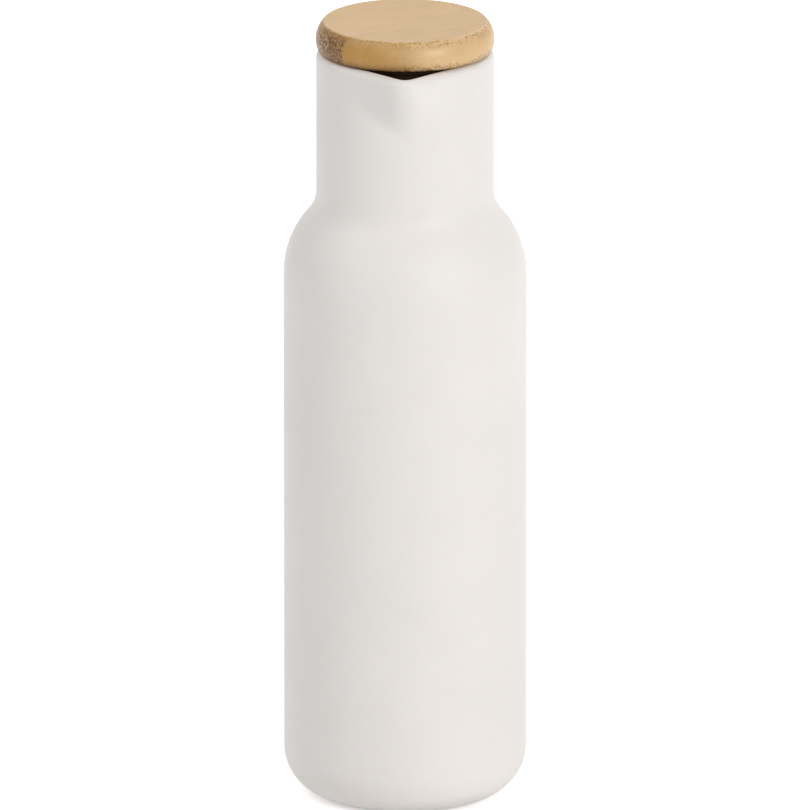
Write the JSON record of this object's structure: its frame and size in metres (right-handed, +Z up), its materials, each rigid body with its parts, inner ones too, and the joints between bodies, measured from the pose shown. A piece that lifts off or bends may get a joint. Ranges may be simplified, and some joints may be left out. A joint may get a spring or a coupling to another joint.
{
  "type": "oil and vinegar bottle",
  "caption": "Slim round ceramic oil and vinegar bottle with a short wide neck, a folded pouring beak and a flat bamboo stopper lid with a silicone seal.",
  "frame": {"origin": "centre of the foot, on the bottle's axis, on the plane it stands on", "axes": "+Z up along the bottle's axis, -Y towards the pouring beak, +X to the right seen from the beak"},
  "size_m": [0.065, 0.065, 0.2137],
  "materials": {
    "glaze": "matt warm white glaze, fired",
    "bamboo": "turned laminated bamboo, sanded and oiled",
    "silicone": "matt moulded silicone, brown black"
  },
  "bodies": {
    "bottle": {"bottle": "glaze"},
    "lid": {"lid": "bamboo", "seal": "silicone"}
  },
  "joints": [
    {"name": "lid_lift", "type": "slide", "parent": "bottle", "child": "lid", "axis": [0, 0, 1], "range_m": [0, 0.028]}
  ]
}
